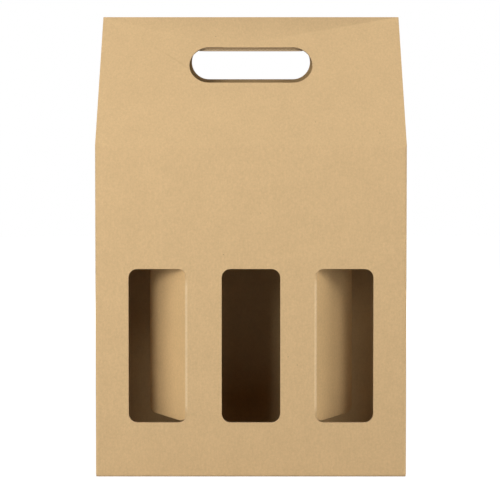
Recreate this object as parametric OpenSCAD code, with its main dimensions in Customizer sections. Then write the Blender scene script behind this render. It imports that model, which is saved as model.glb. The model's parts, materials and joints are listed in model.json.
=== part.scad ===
// Gable-topped carrier box for three wine bottles, folded from one sheet of kraft board.
// The front has three windows. The boards cut from the outer two stay on as flaps that fold
// in between the bottles. The flap cut from the front hand hole tucks through the rear one
// and locks the roof. Origin: centre of the base, on the surface that the box stands on.
// The front faces -Y and +Z is up.

/* [Box] */
// Width of the box across its front
body_w = 260; // [240:1:300]
// Depth of the box from front to back
body_d = 86; // [80:1:100]
// Height of the upright walls, up to the roof folds
wall_h = 276.9; // [250:0.1:320]
// Length of each roof panel along its slope
roof_len = 122.8; // [110:0.1:140]
// How far the cut sides of a roof panel stand in from the sides of the box
roof_inset = 0.3; // [0:0.1:3]

/* [Board] */
// Thickness of the board
board_t = 1.5; // [1.2:0.1:2]
// Inside radius of every crease
crease_r = 0.5; // [0.3:0.1:1]
// Gap between two layers of board that lie on each other
layer_gap = 0.3; // [0.2:0.05:0.6]
// Gap left by the knife round a flap that closes its own hole
cut_gap = 0.35; // [0.25:0.05:0.6]
// How far inside the board's inner face a flap's hinge line lies
hinge_inset = 0.3; // [0.2:0.05:0.6]

/* [Windows] */
// Width of each window
window_w = 49; // [40:0.5:60]
// Height of each window
window_h = 128.6; // [100:0.1:150]
// Height of the windows' lower edges above the base
window_sill = 45.8; // [30:0.1:60]
// Distance between the centre lines of neighbouring windows
window_pitch = 77.8; // [70:0.1:84]
// Radius of the windows' corners
window_r = 7.5; // [3:0.5:15]
// How far each window flap is folded in
flap_open = 46; // [20:1:90]

/* [Hand hole] */
// Width of each hand hole
grip_w = 106.1; // [94:0.1:130]
// Height of the front hand hole along the roof's slope
grip_h = 34.4; // [30:0.1:38]
// Distance from the roof's cut edge down to the front hand hole
grip_drop = 29.8; // [25:0.1:40]
// Height of the rear hand hole along the roof's slope
rear_grip_h = 30.2; // [28:0.1:38]
// How much closer to the ridge the middle of the rear hand hole lies
rear_raise = 7.5; // [6:0.5:10]
// Width of the locking flap in the hand holes
lock_w = 92; // [80:1:93]
// Radius of the locking flap's free corners
lock_r = 12; // [4:1:15]
// Width of the crease that the locking flap hangs on
lock_root = 60; // [40:1:70]
// How far that crease sits to the right of the box's centre
lock_shift = 6; // [0:0.5:8]
// Distance from the top of the hand hole down to that crease
lock_drop = 0.3; // [0.1:0.1:2]
// Slope of the locking flap, rising towards the back
lock_rise = 9; // [5:0.5:12]

/* [End flaps] */
// Length of the flaps at the tops of the side walls
end_flap_len = 45; // [30:1:60]
// How far those flaps lean in from upright
end_flap_lean = 45; // [40:1:70]
// Clearance between those flaps and the roof panels
end_flap_gap = 0.6; // [0.4:0.1:2]

/* [Base] */
// Length of the side flaps inside the base
base_side_len = 58; // [40:1:60]
// How much the free end of a base flap is narrower than its crease, at each side
base_taper = 4; // [0:1:10]
// Width of each tongue that locks the base
tongue_w = 50; // [30:1:52]
// Distance from the centre of the box to the nearer side of a tongue
tongue_in = 5; // [3:1:8]
// Length of a tongue's flat end, lying on the opposite flap
tongue_len = 18; // [10:1:25]
// Slope of a tongue where it climbs onto the opposite flap
tongue_slope = 13; // [10:1:25]
// Width of the glued tab at the rear corner
tab_w = 26; // [15:1:35]
// Length of the slanted ends of that tab
tab_slant = 14; // [5:1:25]

/* [Hidden] */
$fn = 48;

kraft_brown = [0.82, 0.69, 0.51];
flap_brown = [0.78, 0.65, 0.47];

fold_r = board_t + crease_r;
front_flat_w = body_w - 2 * fold_r;
side_flat_w = body_d - 2 * fold_r;
roof_w = body_w - 2 * roof_inset;

// Lean of the roof panels from upright, so that their inner edges meet at the ridge
ridge_reach = body_d / 2 - layer_gap / 2;
roof_lean = asin(ridge_reach / norm([roof_len, board_t])) - atan(board_t / roof_len);

// Heights of the creases at the foot of the walls: the side flaps lie on the long ones
long_fold_z = fold_r;
side_fold_z = board_t + layer_gap + fold_r;

// Centres of the hand holes and the locking flap's crease, along the roof's slope
front_grip_s = roof_len - grip_drop - grip_h / 2;
rear_grip_s = front_grip_s + rear_raise;
lock_crease_s = front_grip_s + grip_h / 2 - lock_drop;
lock_fold = 90 + roof_lean + lock_rise;

window_mid_z = window_sill + window_h / 2;

// Centre of the bend between the rear wall and its glued tab
glued_bend = [body_w / 2 - board_t - fold_r, body_d / 2 - fold_r];

// The front and rear creases of the base run on below the upright corners
base_crease_w = body_w - 2 * crease_r;

// The base's long flaps meet at its centre line, less the layer gap
base_len = side_flat_w / 2 - layer_gap / 2;
tongue_climb = board_t + layer_gap;
tongue_run = tongue_climb / tan(tongue_slope);
tongue_start = base_len - tongue_run / 2;
tongue_end = tongue_start + tongue_run + tongue_len;
recess_len = tongue_run / 2 + 2 * layer_gap;

// A small overlap that joins a strip to the panel beside it
weld = 0.5;

// Length of a cutter that goes through one layer of board
cutter_len = 4 * board_t;

// A rectangle with round corners, centred
module round_rect(w, h, r) {
    square([w, h - 2 * r], center = true);
    square([w - 2 * r, h], center = true);
    for (x = [-1, 1], y = [-1, 1])
        translate([x * (w / 2 - r), y * (h / 2 - r)]) circle(r);
}

// A flat piece of board: its outer face is at z = 0 and its inner face below that
module board() {
    translate([0, 0, -board_t]) linear_extrude(board_t) children();
}

// A trapezium that stands on its long side
module trapezium(w, h, taper) {
    polygon([[-w / 2, 0], [w / 2, 0], [w / 2 - taper, h], [taper - w / 2, h]]);
}

// A crease that folds the board inwards by 90 degrees; what follows it is drawn from its
// far side
module fold_in(width) {
    translate([0, 0, -fold_r]) {
        rotate([0, -90, 0])
            rotate_extrude(angle = 90)
                translate([crease_r, -width / 2]) square([board_t, width]);
        rotate([-90, 0, 0]) translate([0, 0, fold_r]) children();
    }
}

// A straight panel that leans in from the top of a wall, drawn as a wall is
module leaning_panel(lean, len, width) {
    up = [-sin(lean), cos(lean)];
    inwards = [-cos(lean), -sin(lean)];
    outer_foot = [0, wall_h];
    inner_foot = [-board_t, wall_h - board_t * tan(lean / 2)];
    rotate([0, -90, 0])
        linear_extrude(width, center = true)
            polygon([
                outer_foot, outer_foot + len * up,
                outer_foot + len * up + board_t * inwards, inner_foot
            ]);
}

// Places a wall: x along the wall, y up, z outwards, z = 0 on its outer face
module on_wall(turn, reach) {
    rotate([0, 0, turn]) translate([0, -reach, 0]) rotate([90, 0, 0]) children();
}

// Places what hangs from a crease at the foot of a wall
module below_wall(turn, reach, fold_z, width) {
    on_wall(turn, reach)
        translate([0, fold_z, 0]) rotate([0, 0, 180]) fold_in(width) children();
}

// Places what lies in a roof panel: x along the wall, y up the slope, z = 0 on its outer face
module on_roof(turn) {
    on_wall(turn, body_d / 2) translate([0, wall_h, 0]) rotate([-roof_lean, 0, 0]) children();
}

// Plan of the four walls. The rear right corner is the glued one: the side wall ends in a
// cut edge there, and the rear wall stops short of it, at the bend of its glued tab.
module wall_plan() {
    difference() {
        round_rect(body_w, body_d, fold_r);
        round_rect(body_w - 2 * board_t, body_d - 2 * board_t, crease_r);
        translate(glued_bend) square(2 * fold_r);
    }
    translate([body_w / 2 - board_t, side_flat_w / 2]) square([board_t, fold_r]);
}

module window_outline(gap) {
    round_rect(window_w - 2 * gap, window_h - 2 * gap, window_r - gap);
}

// The walls stand on their creases, and those of the side walls lie a board higher
module walls() {
    difference() {
        translate([0, 0, long_fold_z]) linear_extrude(wall_h - long_fold_z) wall_plan();
        on_wall(0, body_d / 2)
            for (i = [-1:1])
                translate([i * window_pitch, window_mid_z, 0])
                    linear_extrude(cutter_len, center = true) window_outline(0);
        translate([-body_w, -side_flat_w / 2, 0]) cube([2 * body_w, side_flat_w, side_fold_z]);
    }
}

// The tab on the rear wall, bent in and glued to the inside of the right side wall
module glue_tab() {
    tab_h = wall_h - side_fold_z;
    translate([glued_bend.x, glued_bend.y, side_fold_z])
        rotate_extrude(angle = 90)
            translate([crease_r, 0]) square([board_t, tab_h]);
    on_wall(90, body_w / 2)
        translate([side_flat_w / 2, side_fold_z + tab_h / 2, -board_t])
            rotate([0, 0, 90]) board() trapezium(tab_h, tab_w, tab_slant);
}

// A hand hole: a slot with round ends
module grip_outline(h, gap) {
    straight = grip_w - h;
    square([straight, h - 2 * gap], center = true);
    for (side = [-1, 1])
        translate([side * straight / 2, 0]) circle(h / 2 - gap);
}

// A roof panel with a cut through it; the cut's outline is drawn in the panel's plane
module roof_panel(turn) {
    difference() {
        on_wall(turn, body_d / 2) leaning_panel(roof_lean, roof_len, roof_w);
        on_roof(turn) linear_extrude(cutter_len, center = true) children();
    }
}

// The front panel keeps the strip of board that its locking flap hangs on
module front_roof() {
    roof_panel(0)
        difference() {
            translate([0, front_grip_s]) grip_outline(grip_h, 0);
            translate([lock_shift - lock_root / 2, lock_crease_s]) square([lock_root, grip_h]);
        }
}

module rear_roof() {
    roof_panel(180)
        translate([0, rear_grip_s]) grip_outline(rear_grip_h, 0);
}

// The flaps at the tops of the side walls, leaning in under the roof panels
module end_flap(turn) {
    room_w = body_d - 2 * board_t / cos(roof_lean) - 2 * end_flap_gap;
    room_taper = end_flap_len * tan(roof_lean);
    on_wall(turn, body_w / 2)
        intersection() {
            leaning_panel(end_flap_lean, end_flap_len, body_d);
            translate([0, wall_h, -end_flap_len]) {
                linear_extrude(2 * end_flap_len) trapezium(room_w, end_flap_len, room_taper);
                translate([-room_w / 2, -fold_r, 0])
                    cube([room_w, fold_r, 2 * end_flap_len]);
            }
        }
}

// A tongue of the base, drawn in its flap's place: it climbs onto the opposite flap and
// lies flat on it
module base_tongue() {
    shift = board_t * tan(tongue_slope / 2);
    top = tongue_start + tongue_run;
    intersection() {
        rotate([90, 0, 90])
            linear_extrude(tongue_w, center = true)
                polygon([
                    [tongue_start - weld, 0], [tongue_start, 0],
                    [top, -tongue_climb], [tongue_end, -tongue_climb],
                    [tongue_end, -tongue_climb - board_t], [top - shift, -tongue_climb - board_t],
                    [tongue_start - shift, -board_t], [tongue_start - weld, -board_t]
                ]);
        translate([0, tongue_end - base_len, -base_len])
            linear_extrude(2 * base_len)
                trapezium(tongue_w + 2 * base_taper, base_len, 2 * base_taper);
    }
}

// A long flap of the base, with its tongue over the opposite flap and a recess for that
// flap's own tongue
module long_base_flap(turn) {
    tongue_mid = tongue_in + tongue_w / 2;
    below_wall(turn, body_d / 2, long_fold_z, base_crease_w) {
        board()
            difference() {
                trapezium(front_flat_w, base_len, base_taper);
                translate([-tongue_mid - tongue_w / 2 - cut_gap, tongue_start])
                    square([tongue_w + 2 * cut_gap, base_len]);
                translate([tongue_mid - tongue_w / 2 - cut_gap, base_len - recess_len])
                    square([tongue_w + 2 * cut_gap, base_len]);
            }
        translate([-tongue_mid, 0, 0]) base_tongue();
    }
}

module side_base_flap(turn) {
    below_wall(turn, body_w / 2, side_fold_z, side_flat_w)
        board() trapezium(side_flat_w, base_side_len, base_taper);
}

// The folded sheet
module carrier() {
    color(kraft_brown) {
        walls();
        glue_tab();
        front_roof();
        rear_roof();
        for (turn = [90, 270]) {
            end_flap(turn);
            side_base_flap(turn);
        }
        for (turn = [0, 180])
            long_base_flap(turn);
    }
}

// A window flap, cut from its window and folded in about the edge nearer to the middle.
// side is -1 for the left window and 1 for the right one.
module window_flap(side) {
    hinge_x = window_pitch - window_w / 2 + cut_gap / 2;
    hinge_z = -board_t - hinge_inset;
    color(flap_brown)
        on_wall(0, body_d / 2)
            translate([side * hinge_x, 0, hinge_z])
                rotate([0, side * flap_open, 0])
                    translate([-side * hinge_x, 0, -hinge_z])
                        translate([side * window_pitch, window_mid_z, 0])
                            board() window_outline(cut_gap);
}

module left_window_flap() {
    window_flap(-1);
}

module right_window_flap() {
    window_flap(1);
}

// The locking flap, cut from the front hand hole and pushed through the rear one
module hand_flap() {
    hinge_y = lock_crease_s - cut_gap / 2;
    hinge_z = -board_t - hinge_inset;
    root_y = lock_crease_s - cut_gap;
    end_y = front_grip_s - grip_h / 2 + cut_gap;
    color(flap_brown)
        on_roof(0)
            translate([0, hinge_y, hinge_z])
                rotate([lock_fold, 0, 0])
                    translate([0, -hinge_y, -hinge_z])
                        board()
                            intersection() {
                                translate([0, front_grip_s]) grip_outline(grip_h, cut_gap);
                                translate([0, end_y + lock_w / 2])
                                    round_rect(lock_w, lock_w, lock_r);
                                translate([-lock_w / 2, end_y])
                                    square([lock_w, root_y - end_y]);
                            }
}

carrier();
left_window_flap();
right_window_flap();
hand_flap();
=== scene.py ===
"""Looks of the gable-topped carrier box for three wine bottles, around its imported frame."""

import json
import math

import bmesh
import bpy
from mathutils import Matrix, Vector

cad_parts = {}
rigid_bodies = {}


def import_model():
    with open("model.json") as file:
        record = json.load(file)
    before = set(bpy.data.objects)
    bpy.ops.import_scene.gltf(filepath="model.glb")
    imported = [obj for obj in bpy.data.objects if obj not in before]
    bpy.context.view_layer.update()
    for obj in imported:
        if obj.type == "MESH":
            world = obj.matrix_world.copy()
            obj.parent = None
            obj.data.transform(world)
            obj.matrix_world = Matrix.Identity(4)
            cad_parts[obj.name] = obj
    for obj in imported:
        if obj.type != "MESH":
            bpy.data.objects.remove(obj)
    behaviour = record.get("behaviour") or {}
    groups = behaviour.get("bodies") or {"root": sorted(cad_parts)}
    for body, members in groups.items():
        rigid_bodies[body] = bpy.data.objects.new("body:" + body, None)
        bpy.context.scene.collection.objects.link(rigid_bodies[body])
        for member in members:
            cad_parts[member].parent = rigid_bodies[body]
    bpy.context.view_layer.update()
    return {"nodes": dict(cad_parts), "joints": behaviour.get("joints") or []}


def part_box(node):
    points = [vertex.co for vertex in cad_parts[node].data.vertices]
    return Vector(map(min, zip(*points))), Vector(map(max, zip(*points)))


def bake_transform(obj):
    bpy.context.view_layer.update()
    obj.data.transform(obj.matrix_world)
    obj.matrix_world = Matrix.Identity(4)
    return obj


for old_object in list(bpy.data.objects):
    bpy.data.objects.remove(old_object)
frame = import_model()
nodes = frame["nodes"]
joints = {joint["name"]: joint for joint in frame["joints"]}

# Sizes of the box, in metres, read off the frame where they can be
BOX_LOW, BOX_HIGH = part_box("carrier")
BODY_W = BOX_HIGH[0] - BOX_LOW[0]
BODY_D = BOX_HIGH[1] - BOX_LOW[1]
RIDGE_Z = BOX_HIGH[2]
WALL_H = 0.2769
ROOF_LEN = 0.1228
BOARD_T = 0.0015
HINGE_INSET = 0.0003
WINDOW_LOW = 0.0458
WINDOW_HIGH = 0.1744
WINDOW_R = 0.0075
HAND_CREASE_W = 0.084
END_FLAP_LEAN = math.radians(45)

# Lean of the roof panels: their outer faces rise from the front and rear walls' outer faces
ROOF_LEAN = math.acos((RIDGE_Z - WALL_H) / ROOF_LEN)

# How far each flap has turned from its closed place, signed about its hinge's axis
WINDOW_TURN = -math.radians(joints["left_window_hinge"]["range_deg"][1])
HAND_TURN = -math.radians(joints["hand_flap_hinge"]["range_deg"][0])

# The photograph's frame and the camera that it was taken with, as fitted to the box's corners
PHOTO_SIZE = 500
FOCAL_PX = 828.9
AXIS_X_PX = 250.95
AXIS_Y_PX = 210
CAMERA_DISTANCE = 0.69
CAMERA_Z = 0.2349
CAMERA_PITCH = 0.0164
SENSOR_MM = 36

# Colours of the board, as linear values
KRAFT_FACE = (0.65, 0.447, 0.230)
# The window flaps' liner: a warmer, more saturated copy of the outer liner, painted light for the
# flaps inside the box
KRAFT_FLAP_PAINTED_LIGHT = (0.665, 0.440, 0.207)
KRAFT_INSIDE = (0.485, 0.325, 0.155)
# The crushed rims: paler than the liner, a painted highlight along the edges
KRAFT_RIM_HIGHLIGHT = (0.72, 0.52, 0.30)
# The window creases: paler than the liner, a painted highlight along the fold
KRAFT_CREASE_HIGHLIGHT = (0.75, 0.545, 0.31)
# The hand flap's crease strip: darker than the inner liner, painted shade in the crease's gap
KRAFT_CREASE_GAP_SHADE = (0.36, 0.24, 0.12)
KRAFT_CORE = (0.68, 0.50, 0.31)
# The hollows between the flutes on the cut edges: painted shade
KRAFT_FLUTE_HOLLOW_SHADE = (0.42, 0.29, 0.16)

# Relief and roughness of the liner and of the cut edges, and the grain's lowest and highest spots
SPECULAR = 0.25
GRAIN_HEIGHT = (0.6, 1.4)
LINER_BUMP = 0.00003
LINER_ROUGH = (0.82, 0.92)
EDGE_BUMP = 0.00008
EDGE_ROUGH = (0.85, 0.95)

# The board's build: the flutes' pitch, and a liner's and the medium's share of its thickness
FLUTE_PITCH = 0.0033
LINER_SHARE = 0.16
MEDIUM_SHARE = 0.13
FLUTE_GAP = 0.04
LINER_BLUR = 0.03

# A face is a cut edge of a panel where it lies inside the panel's thickness and stands across
# it, clear of the folds at the panel's sides
EDGE_MARGIN = 0.02
CUT_ANGLE_DOT = 0.35
FOLD_CLEAR = 0.003

# How far the knife crushes the board's edges, and the gap that is closed before
CRUSH_W = 0.0002
WELD_GAP = 0.000002

# The strips that carry the flaps round their creases: their thickness and the steps of their arc
LINER_T = 0.0002
ARC_STEPS = 16
# How far the strips' tails run on from the arc, on the panel and on the flap
TAIL_TOP = 0.00045
TAIL_END = 0.0008
TAIL_CORE = 0.0006
TAIL_CORE_FLAP = 0.0035
# How far the arc stands out of the board's outer face, and how far the tails' ends and the
# fluting's strip lie under it
PROUD = 0.00001
SUNK = 0.00012
CORE_SUNK = 0.0003
# How far the fluting's strip runs into each round corner, and where the crease's painted
# highlight fades
CREASE_CORNER = 0.0065
CREASE_FADE = 0.007

# The floor shows white: by the lamps and a glow near the box, by the glow alone far from it
FLOOR_SIZE = 8
FLOOR_GREY = 0.52
FLOOR_GLOW = 0.77
LIT_RADIUS = 0.35
DIM_RADIUS = 1.0
AMBIENT = 0.01

# Each softbox: azimuth and elevation in degrees, distance and size in metres, power in watts
SOFTBOXES = {
    "left_key": (-35, 18, 1.3, 0.4, 5.2),
    "left_low": (-35, 5, 1.3, 0.4, 1.3),
    "left_high": (-45, 45, 1.3, 0.4, 2.0),
    "left_edge": (-60, 5, 1.3, 0.6, 4.5),
    "right_key": (45, 30, 1.3, 0.4, 3.8),
    "right_low": (35, 5, 1.3, 0.4, 1.0),
    "right_high": (45, 45, 1.3, 0.4, 1.7),
    "right_edge": (75, 5, 1.3, 0.6, 4.4),
    "left_rear": (-140, 10, 1.3, 0.6, 5.0),
    "right_rear": (140, 10, 1.3, 0.6, 5.0),
}


class Panel:
    """A flat stretch of board: a point on its outer face, its outward normal, the way across
    its flutes, and a test that says whether a point belongs to it."""

    def __init__(self, name, point, normal, across, holds):
        self.name = name
        self.point = Vector(point)
        self.normal = Vector(normal).normalized()
        self.across = Vector(across).normalized()
        self.holds = holds

    def depth(self, place):
        """How deep in the board a place lies, from 0 on the outer face to 1 on the inner."""
        return (self.point - place).dot(self.normal) / BOARD_T


def new_material(name):
    """Makes a material with no nodes in it yet. Returns it and its node tree."""
    material = bpy.data.materials.new(name)
    material.use_nodes = True
    tree = material.node_tree
    tree.nodes.clear()
    return material, tree


def add(tree, kind, **settings):
    """Adds a node of a kind, with its settings. Returns the node."""
    node = tree.nodes.new(kind)
    for key, value in settings.items():
        setattr(node, key, value)
    return node


def math_node(tree, operation, first, second=None):
    """Adds a Math node; each input is a socket or a number. Returns its output socket."""
    node = add(tree, "ShaderNodeMath", operation=operation)
    for index, value in enumerate((first, second)):
        if value is None:
            continue
        if isinstance(value, (int, float)):
            node.inputs[index].default_value = value
        else:
            tree.links.new(value, node.inputs[index])
    return node.outputs[0]


def remap(tree, value, low, high, new_low, new_high):
    """Maps a range of a socket's values onto another range, and holds it within that."""
    node = add(tree, "ShaderNodeMapRange")
    tree.links.new(value, node.inputs["Value"])
    node.inputs["From Min"].default_value = low
    node.inputs["From Max"].default_value = high
    node.inputs["To Min"].default_value = new_low
    node.inputs["To Max"].default_value = new_high
    return node.outputs["Result"]


def noise(tree, place, scale, detail=2.0, roughness=0.5, stretch=None):
    """Noise with a given number of features to a metre, stretched along an axis if asked."""
    if stretch:
        mapping = add(tree, "ShaderNodeMapping")
        mapping.inputs["Scale"].default_value = stretch
        tree.links.new(place, mapping.inputs["Vector"])
        place = mapping.outputs["Vector"]
    node = add(tree, "ShaderNodeTexNoise")
    node.inputs["Scale"].default_value = scale
    node.inputs["Detail"].default_value = detail
    node.inputs["Roughness"].default_value = roughness
    tree.links.new(place, node.inputs["Vector"])
    return node.outputs["Fac"]


def specks(tree, place, scale, share, size):
    """A mask of small spots: each cell of a grid holds one where its random number is low."""
    node = add(tree, "ShaderNodeTexVoronoi", feature="F1")
    node.inputs["Scale"].default_value = scale
    tree.links.new(place, node.inputs["Vector"])
    split = add(tree, "ShaderNodeSeparateColor")
    tree.links.new(node.outputs["Color"], split.inputs["Color"])
    chosen = math_node(tree, "LESS_THAN", split.outputs["Red"], share)
    near = remap(tree, node.outputs["Distance"], size * 0.6, size, 1.0, 0.0)
    return math_node(tree, "MULTIPLY", chosen, near)


def darkened(tree, colour, factor):
    """A colour times a grey factor; both are sockets, or the colour is a tuple."""
    node = add(tree, "ShaderNodeVectorMath", operation="SCALE")
    if isinstance(colour, tuple):
        node.inputs[0].default_value = colour
    else:
        tree.links.new(colour, node.inputs[0])
    tree.links.new(factor, node.inputs["Scale"])
    return node.outputs[0]


def kraft_grain(tree, place):
    """The mottle of uncoated kraft liner. Returns a brightness factor and a height."""
    mottle = noise(tree, place, 620, detail=3.0, roughness=0.62)
    clouds = noise(tree, place, 45, detail=3.0)
    fibres = noise(tree, place, 900, detail=1.0, stretch=(1.0, 1.0, 0.22))
    dark = specks(tree, place, 130, 0.06, 0.07)
    pale = specks(tree, place, 210, 0.10, 0.05)
    tone = remap(tree, mottle, 0.25, 0.75, 0.93, 1.07)
    tone = math_node(tree, "MULTIPLY", tone, remap(tree, clouds, 0.25, 0.75, 0.975, 1.025))
    tone = math_node(tree, "MULTIPLY", tone, remap(tree, fibres, 0.25, 0.75, 0.975, 1.025))
    tone = math_node(tree, "MULTIPLY", tone, remap(tree, dark, 0.0, 1.0, 1.0, 0.6))
    tone = math_node(tree, "MULTIPLY", tone, remap(tree, pale, 0.0, 1.0, 1.0, 1.08))
    height = math_node(tree, "ADD", mottle, fibres)
    return tone, height


def finish_material(tree, colour, height, bump_depth, roughness):
    """A matte surface with a colour, a bump and a roughness that varies with the grain between
    two values: the higher a spot, the smoother it is."""
    smoothest, roughest = roughness
    bump = add(tree, "ShaderNodeBump")
    bump.inputs["Strength"].default_value = 1.0
    bump.inputs["Distance"].default_value = bump_depth
    tree.links.new(height, bump.inputs["Height"])
    shader = add(tree, "ShaderNodeBsdfPrincipled")
    shader.inputs["Specular IOR Level"].default_value = SPECULAR
    tree.links.new(colour, shader.inputs["Base Color"])
    tree.links.new(bump.outputs["Normal"], shader.inputs["Normal"])
    tree.links.new(remap(tree, height, *GRAIN_HEIGHT, roughest, smoothest),
                   shader.inputs["Roughness"])
    output = add(tree, "ShaderNodeOutputMaterial")
    tree.links.new(shader.outputs["BSDF"], output.inputs["Surface"])


def kraft_face(name, colour):
    """The liner of the board."""
    material, tree = new_material(name)
    place = add(tree, "ShaderNodeTexCoord").outputs["Object"]
    tone, height = kraft_grain(tree, place)
    finish_material(tree, darkened(tree, colour, tone), height, LINER_BUMP, LINER_ROUGH)
    return material


def kraft_crease_painted_highlight(name, middle, length):
    """The liner on an upright crease, with a painted highlight: it is paler than the rest, and
    the highlight fades at the crease's ends."""
    material, tree = new_material(name)
    place = add(tree, "ShaderNodeTexCoord").outputs["Object"]
    tone, height = kraft_grain(tree, place)
    off_middle = math_node(tree, "ABSOLUTE", along(tree, place, Vector((0, 0, 1)), middle))
    pale = remap(tree, off_middle, length / 2 - CREASE_FADE, length / 2, 1.0, 0.0)
    mix = add(tree, "ShaderNodeMix", data_type="RGBA")
    mix.inputs["A"].default_value = (*KRAFT_FACE, 1)
    mix.inputs["B"].default_value = (*KRAFT_CREASE_HIGHLIGHT, 1)
    tree.links.new(pale, mix.inputs["Factor"])
    finish_material(tree, darkened(tree, mix.outputs["Result"], tone), height,
                    LINER_BUMP, LINER_ROUGH)
    return material


def along(tree, place, direction, origin=Vector()):
    """The distance of a place from an origin along a fixed direction."""
    node = add(tree, "ShaderNodeVectorMath", operation="DOT_PRODUCT")
    tree.links.new(place, node.inputs[0])
    node.inputs[1].default_value = direction
    return math_node(tree, "SUBTRACT", node.outputs["Value"], origin.dot(direction))


def cut_edge(panel):
    """The cut edge of a panel: two liners with the fluted medium between them, and the hollows
    between the flutes in painted shade.
    """
    material, tree = new_material("cut_edge_" + panel.name)
    place = add(tree, "ShaderNodeTexCoord").outputs["Object"]
    tone, height = kraft_grain(tree, place)
    depth = math_node(tree, "DIVIDE", along(tree, place, -panel.normal, panel.point), BOARD_T)
    phase = math_node(tree, "MULTIPLY", along(tree, place, panel.across), math.tau / FLUTE_PITCH)
    wave = math_node(tree, "SINE", phase)
    shallow = LINER_SHARE + FLUTE_GAP
    wave_depth = remap(tree, wave, -1.0, 1.0, shallow, 1.0 - shallow)
    off_medium = math_node(tree, "ABSOLUTE", math_node(tree, "SUBTRACT", depth, wave_depth))
    medium = remap(tree, off_medium, MEDIUM_SHARE * 0.7, MEDIUM_SHARE, 1.0, 0.0)
    off_middle = math_node(tree, "ABSOLUTE", math_node(tree, "SUBTRACT", depth, 0.5))
    under_liner = 0.5 - LINER_SHARE
    liner = remap(tree, off_middle, under_liner - LINER_BLUR, under_liner, 0.0, 1.0)
    solid = math_node(tree, "MAXIMUM", medium, liner)
    # Where neither liner nor medium lies, the flutes' hollows take the dark colour: painted shade
    mix = add(tree, "ShaderNodeMix", data_type="RGBA")
    mix.inputs["A"].default_value = (*KRAFT_FLUTE_HOLLOW_SHADE, 1)
    mix.inputs["B"].default_value = (*KRAFT_CORE, 1)
    tree.links.new(solid, mix.inputs["Factor"])
    relief = math_node(tree, "ADD", height, solid)
    finish_material(tree, darkened(tree, mix.outputs["Result"], tone), relief,
                    EDGE_BUMP, EDGE_ROUGH)
    return material


def roof_outward():
    """The outward normal of the front roof panel."""
    return Vector((0, -math.cos(ROOF_LEAN), math.sin(ROOF_LEAN)))


def board_panels():
    """The flat stretches of the carrier that have cut edges."""
    lean_in = math.sin(ROOF_LEAN)
    lean_up = math.cos(ROOF_LEAN)
    tilt = math.sin(END_FLAP_LEAN)
    half_w = BODY_W / 2
    half_d = BODY_D / 2
    clear_x = half_w - FOLD_CLEAR
    low = WALL_H + 0.0001
    return [
        Panel("front_wall", (0, -half_d, 0), (0, -1, 0), (1, 0, 0),
              lambda p: abs(p.x) < clear_x and 0.01 < p.z < WALL_H - 0.01),
        Panel("glued_side", (half_w, 0, 0), (1, 0, 0), (0, 1, 0),
              lambda p: 0.03 < p.y < half_d and FOLD_CLEAR < p.z < WALL_H - 0.001),
        Panel("front_roof", (0, -half_d, WALL_H), (0, -lean_up, lean_in), (1, 0, 0),
              lambda p: p.z > low and p.y < 0),
        Panel("rear_roof", (0, half_d, WALL_H), (0, lean_up, lean_in), (1, 0, 0),
              lambda p: p.z > low and p.y > 0),
        Panel("left_end_flap", (-half_w, 0, WALL_H), (-tilt, 0, tilt), (0, 1, 0),
              lambda p: p.z > low and p.x < 0),
        Panel("right_end_flap", (half_w, 0, WALL_H), (tilt, 0, tilt), (0, 1, 0),
              lambda p: p.z > low and p.x > 0),
        Panel("base", (0, 0, 0), (0, 0, -1), (1, 0, 0),
              lambda p: p.z < BOARD_T and abs(p.x) < clear_x),
    ]


class Hinge:
    """Where a flap's crease is: the hinge line, the outward normal of the panel that the flap
    was cut from, and how far round that line the flap has turned from its closed place."""

    def __init__(self, joint_name, outward, turn):
        joint = joints[joint_name]
        self.flap = joint["child"]
        self.pivot = Vector(joint["pos_m"])
        self.axis = Vector(joint["axis"])
        self.outward = Vector(outward)
        self.turn = turn

    def normal(self, share):
        """The outer face's normal a share of the way round the crease."""
        return Matrix.Rotation(share * self.turn, 4, self.axis) @ self.outward

    def onward(self, share):
        """The way from the panel to the flap along the board, at the same place."""
        return math.copysign(1, self.turn) * self.axis.cross(self.normal(share))

    def panel(self):
        """The flap as a Panel."""
        point = self.pivot + self.normal(1) * (BOARD_T + HINGE_INSET)
        across = self.axis if self.flap == "hand_flap" else self.onward(1)
        return Panel(self.flap, point, self.normal(1), across, lambda p: True)


LEFT_HINGE = Hinge("left_window_hinge", (0, -1, 0), WINDOW_TURN)
RIGHT_HINGE = Hinge("right_window_hinge", (0, -1, 0), WINDOW_TURN)
HAND_HINGE = Hinge("hand_flap_hinge", roof_outward(), HAND_TURN)


def dress(name, face_materials, panels, faces_in):
    """Gives a node its outer liner, its inner liner where faces_in says so, its cut edges the
    fluted material of their own panel, and leaves the paler rim material, a painted highlight on
    the crushed edges, last."""
    outer, inner, rim_highlight = face_materials
    mesh = nodes[name].data
    mesh.materials.clear()
    for material in (outer, inner, *(cut_edge(panel) for panel in panels), rim_highlight):
        mesh.materials.append(material)
    for polygon in mesh.polygons:
        polygon.material_index = 1 if faces_in(polygon) else 0
        for index, panel in enumerate(panels, start=2):
            inside = EDGE_MARGIN < panel.depth(polygon.center) < 1 - EDGE_MARGIN
            cut = abs(polygon.normal.dot(panel.normal)) < CUT_ANGLE_DOT
            if inside and cut and panel.holds(polygon.center):
                polygon.material_index = index
                break


def soften(name):
    """Rounds the edges of a node a little, as the knife crushes the board there; the rounding
    takes the paler rim material, a painted highlight.
    """
    piece = nodes[name]
    weld = piece.modifiers.new("weld", "WELD")
    weld.merge_threshold = WELD_GAP
    bevel = piece.modifiers.new("crushed_edges", "BEVEL")
    bevel.width = CRUSH_W
    bevel.segments = 2
    bevel.limit_method = "ANGLE"
    bevel.angle_limit = math.radians(30)
    bevel.harden_normals = True
    # The bevel's faces take the last material, the paler rim: a painted highlight along the edges
    bevel.material = len(piece.data.materials) - 1


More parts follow.
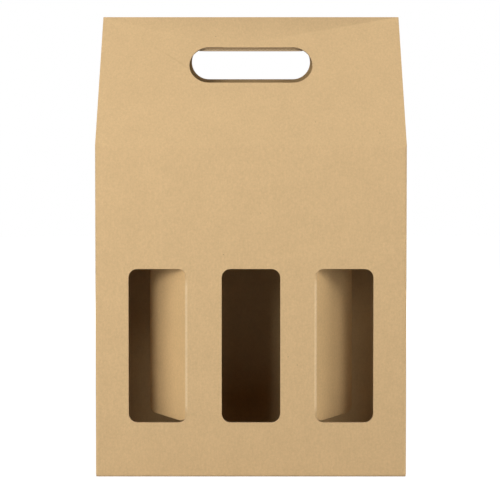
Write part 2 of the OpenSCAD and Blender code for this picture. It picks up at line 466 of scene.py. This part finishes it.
def dress_nodes():
    """Gives the sheet and its flaps their materials and their crushed edges."""
    outer = kraft_face("kraft_outer_liner", KRAFT_FACE)
    flap_painted_light = kraft_face("kraft_flap_liner_painted_light", KRAFT_FLAP_PAINTED_LIGHT)
    inner = kraft_face("kraft_inner_liner", KRAFT_INSIDE)
    rim_highlight = kraft_face("kraft_rim_painted_highlight", KRAFT_RIM_HIGHLIGHT)
    middle = Vector((0, 0, WALL_H / 2))
    dress("carrier", (outer, inner, rim_highlight), board_panels(),
          lambda face: face.normal.dot(face.center - middle) < 0)
    # The flaps' outer faces take the warmer flap colour: painted light inside the box
    for hinge in (LEFT_HINGE, RIGHT_HINGE, HAND_HINGE):
        outward = hinge.normal(1)
        dress(hinge.flap, (flap_painted_light, inner, rim_highlight), [hinge.panel()],
              lambda face, outward=outward: face.normal.dot(outward) < -0.5)
    for name in nodes:
        soften(name)


def crease_strip(hinge, name, radius, panel_tail, flap_tail, length, material):
    """The board that carries a flap round its crease: an arc between two tails, each a list of
    (radius, distance from the hinge line) from the arc outwards."""
    path = [(0, -distance, reach) for reach, distance in reversed(panel_tail)]
    path += [(step / ARC_STEPS, 0, radius) for step in range(ARC_STEPS + 1)]
    path += [(1, distance, reach) for reach, distance in flap_tail]
    shape = bmesh.new()
    rings = []
    for share, tail, reach in path:
        foot = hinge.pivot + hinge.onward(share) * tail
        ring = []
        for end, height in ((-1, reach), (-1, reach - LINER_T), (1, reach - LINER_T), (1, reach)):
            place = foot + hinge.normal(share) * height + hinge.axis * end * length / 2
            ring.append(shape.verts.new(place))
        rings.append(ring)
    for near, far in zip(rings, rings[1:]):
        for a, b in ((0, 1), (1, 2), (2, 3), (3, 0)):
            shape.faces.new((near[a], near[b], far[b], far[a]))
    shape.faces.new(rings[0])
    shape.faces.new(rings[-1])
    bmesh.ops.recalc_face_normals(shape, faces=shape.faces)
    mesh = bpy.data.meshes.new(name)
    shape.to_mesh(mesh)
    shape.free()
    mesh.materials.append(material)
    for polygon in mesh.polygons:
        polygon.use_smooth = True
    mesh.set_sharp_from_angle(angle=math.radians(40))
    strip = bpy.data.objects.new(name, mesh)
    bpy.context.scene.collection.objects.link(strip)
    start = hinge.pivot + hinge.normal(0) * radius
    end = hinge.pivot + hinge.normal(1) * radius
    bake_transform(strip)


def make_creases():
    """A window flap's outer liner runs round its crease, with the fluting under it. The hand flap
    is cut half through from outside, so only its inner liner runs on; that strip is darker than
    the liner, painted shade along the crease's gap."""
    core = kraft_face("kraft_crease_core", KRAFT_FACE)
    gap_shade = kraft_face("kraft_hand_crease_painted_shade", KRAFT_CREASE_GAP_SHADE)
    outer = BOARD_T + HINGE_INSET
    proud, sunk, deep = outer + PROUD, outer - SUNK, outer - CORE_SUNK
    over = [(proud, TAIL_TOP), (sunk, TAIL_END)]
    straight = WINDOW_HIGH - WINDOW_LOW - 2 * WINDOW_R
    # The window creases' strips are painted paler: a painted highlight along the fold
    crease = kraft_crease_painted_highlight("kraft_crease_painted_highlight", LEFT_HINGE.pivot, straight)
    for hinge, side in ((LEFT_HINGE, "left"), (RIGHT_HINGE, "right")):
        crease_strip(hinge, side + "_window_crease", proud, over, over, straight, crease)
        crease_strip(hinge, side + "_window_crease_core", deep, [(deep, TAIL_CORE)],
                     [(deep, TAIL_CORE_FLAP)], straight + 2 * CREASE_CORNER, core)
    inner = HINGE_INSET + LINER_T
    tail = [(inner, TAIL_CORE)]
    crease_strip(HAND_HINGE, "hand_crease", inner, tail, tail, HAND_CREASE_W, gap_shade)


def shown_to_eye(tree):
    """1 for rays from the camera, directly or by way of metal or glass, and 0 for light."""
    seen = add(tree, "ShaderNodeLightPath")
    shown = math_node(tree, "MAXIMUM", seen.outputs["Is Camera Ray"],
                      seen.outputs["Is Glossy Ray"])
    return math_node(tree, "MAXIMUM", shown, seen.outputs["Is Transmission Ray"])


def make_floor():
    """A pale floor that keeps the box's shadow. Its glow is for the eye and lights nothing."""
    bpy.ops.mesh.primitive_plane_add(size=FLOOR_SIZE)
    floor = bpy.context.object
    floor.name = "floor"
    material, tree = new_material("floor_white")
    diffuse = add(tree, "ShaderNodeBsdfDiffuse")
    diffuse.inputs["Color"].default_value = (FLOOR_GREY, FLOOR_GREY, FLOOR_GREY, 1)
    glow = add(tree, "ShaderNodeEmission")
    place = add(tree, "ShaderNodeTexCoord").outputs["Object"]
    away = add(tree, "ShaderNodeVectorMath", operation="LENGTH")
    tree.links.new(place, away.inputs[0])
    strength = remap(tree, away.outputs["Value"], LIT_RADIUS, DIM_RADIUS, FLOOR_GLOW, 1.0)
    tree.links.new(math_node(tree, "MULTIPLY", shown_to_eye(tree), strength),
                   glow.inputs["Strength"])
    both = add(tree, "ShaderNodeAddShader")
    tree.links.new(diffuse.outputs["BSDF"], both.inputs[0])
    tree.links.new(glow.outputs["Emission"], both.inputs[1])
    output = add(tree, "ShaderNodeOutputMaterial")
    tree.links.new(both.outputs["Shader"], output.inputs["Surface"])
    floor.data.materials.append(material)


def make_world():
    """A world that shows white and gives almost no light."""
    world = bpy.data.worlds.new("studio")
    bpy.context.scene.world = world
    world.use_nodes = True
    tree = world.node_tree
    tree.nodes.clear()
    background = add(tree, "ShaderNodeBackground")
    background.inputs["Color"].default_value = (1, 1, 1, 1)
    tree.links.new(remap(tree, shown_to_eye(tree), 0.0, 1.0, AMBIENT, 1.0),
                   background.inputs["Strength"])
    output = add(tree, "ShaderNodeOutputWorld")
    tree.links.new(background.outputs["Background"], output.inputs["Surface"])


def softbox(name, azimuth, elevation, distance, size, power):
    """A square area lamp aimed at the middle of the box. Azimuth 0 is in front of it."""
    data = bpy.data.lights.new(name, "AREA")
    data.shape = "SQUARE"
    data.size = size
    data.energy = power
    lamp = bpy.data.objects.new(name, data)
    bpy.context.scene.collection.objects.link(lamp)
    target = Vector((0, 0, RIDGE_Z / 2))
    aim = Vector((
        math.sin(math.radians(azimuth)) * math.cos(math.radians(elevation)),
        -math.cos(math.radians(azimuth)) * math.cos(math.radians(elevation)),
        math.sin(math.radians(elevation)),
    ))
    lamp.location = target + distance * aim
    lamp.rotation_euler = aim.to_track_quat("Z", "Y").to_euler()


def make_lights():
    """All the softboxes: those in front light the photo's view, the two behind the rear."""
    for name, values in SOFTBOXES.items():
        softbox(name, *values)


def make_camera():
    """The photograph's camera, with its optical axis where the photograph has it."""
    data = bpy.data.cameras.new("camera")
    data.sensor_width = SENSOR_MM
    data.lens = SENSOR_MM * FOCAL_PX / PHOTO_SIZE
    data.shift_x = (PHOTO_SIZE / 2 - AXIS_X_PX) / PHOTO_SIZE
    data.shift_y = (AXIS_Y_PX - PHOTO_SIZE / 2) / PHOTO_SIZE
    data.clip_start = 0.01
    camera = bpy.data.objects.new("camera", data)
    bpy.context.scene.collection.objects.link(camera)
    camera.location = (0, -BODY_D / 2 - CAMERA_DISTANCE, CAMERA_Z)
    camera.rotation_euler = (math.pi / 2 - CAMERA_PITCH, 0, 0)
    bpy.context.scene.camera = camera


make_camera()
dress_nodes()
make_creases()
make_floor()
make_world()
make_lights()
bpy.context.scene.view_settings.view_transform = "Standard"
